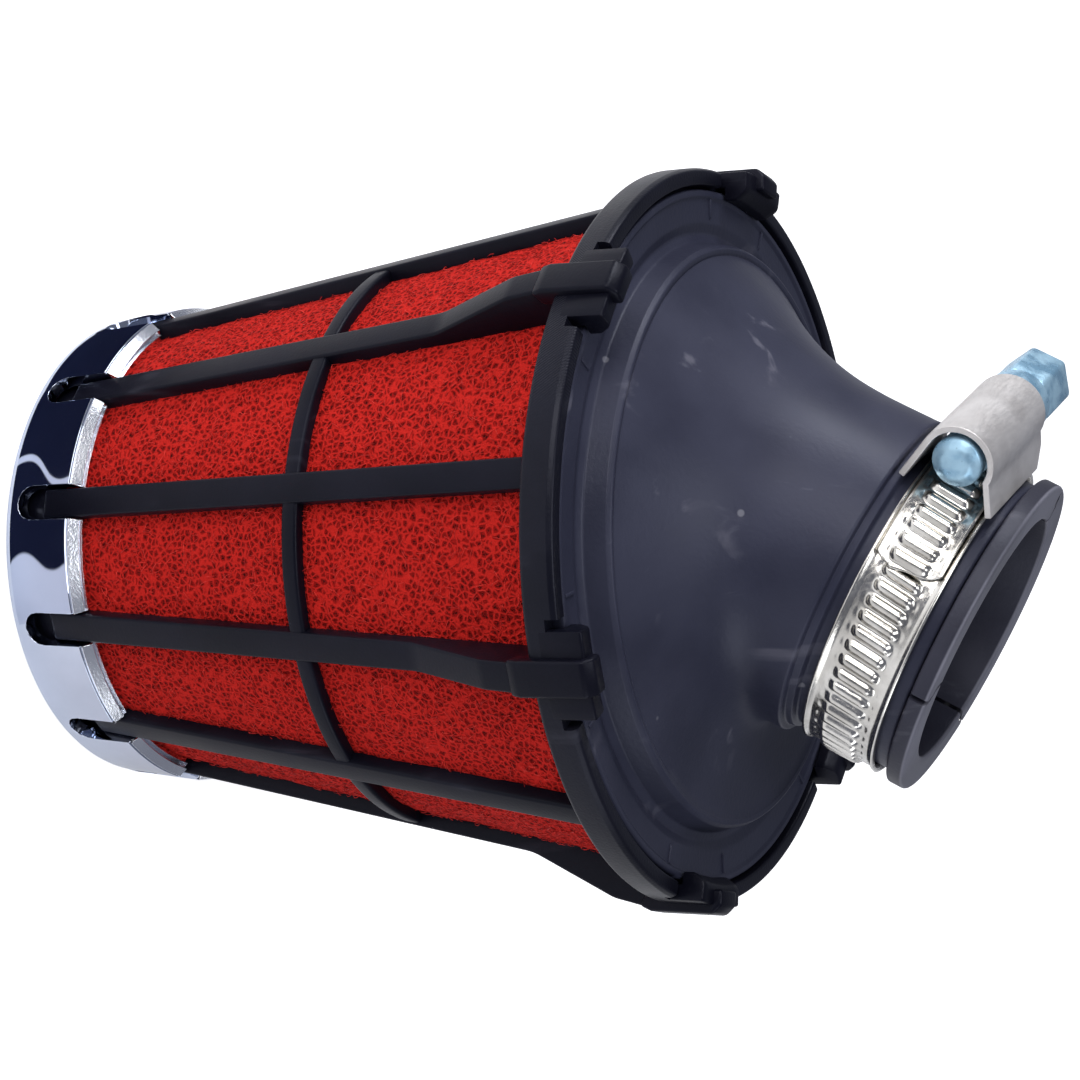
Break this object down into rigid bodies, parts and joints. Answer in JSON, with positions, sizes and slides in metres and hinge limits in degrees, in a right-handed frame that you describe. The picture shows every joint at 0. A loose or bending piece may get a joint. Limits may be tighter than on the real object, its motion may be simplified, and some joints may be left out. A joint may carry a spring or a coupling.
{
  "type": "air filter",
  "caption": "Cone air filter for a motorcycle carburettor: red foam in a ribbed black cage, chrome end cap, and a bent rubber neck with a slotted sleeve and a worm-drive hose clamp.",
  "frame": {"origin": "centre of the end cap's flat outer face, on which the filter stands", "axes": "+Z along the cage's axis from the cap towards the neck; the neck leans towards +X in the XZ plane; the clamp's housing is on the -X side"},
  "size_m": [0.098, 0.1002, 0.1398],
  "materials": {
    "chrome": "mirror bright",
    "black_plastic": "moulded satin",
    "red_foam": "open-cell foam",
    "grey_foam": "fine open-cell foam",
    "black_rubber": "moulded satin",
    "sleeve_rubber": "worn satin",
    "nickel_steel": "bright nickel plate",
    "blue_zinc": "blue passivated zinc plate"
  },
  "bodies": {
    "filter": {"end_cap": "chrome", "cage": "black_plastic", "foam_outer": "red_foam", "foam_end_disc": "red_foam", "foam_inner": "grey_foam", "support_basket": "black_plastic", "neck_boot": "black_rubber"},
    "sleeve": {"reducing_sleeve": "sleeve_rubber"},
    "clamp": {"clamp_band": "nickel_steel", "clamp_housing": "nickel_steel"},
    "band_tail": {"clamp_band_tail": "nickel_steel"},
    "screw": {"clamp_screw": "blue_zinc"}
  },
  "joints": [
    {"name": "sleeve_slide", "type": "slide", "parent": "filter", "child": "sleeve", "axis": [0.4848, 0, 0.8746], "range_m": [0, 0.022]},
    {"name": "clamp_swivel", "type": "hinge", "parent": "filter", "child": "clamp", "pos_m": [0, 0, 0.1032], "axis": [0.4848, 0, 0.8746], "continuous": true},
    {"name": "screw_turn", "type": "hinge", "parent": "clamp", "child": "screw", "pos_m": [-0.01304, -0.00179, 0.13255], "axis": [0.061, -0.9976, -0.0338], "range_deg": [-1080, 1440]},
    {"name": "tail_feed", "type": "hinge", "parent": "clamp", "child": "band_tail", "pos_m": [0, 0, 0.1032], "axis": [0.4848, 0, 0.8746], "range_deg": [-23, 17.5]}
  ],
  "couplings": [
    {"joint": "tail_feed", "follows": "screw_turn", "ratio": -0.015772}
  ]
}
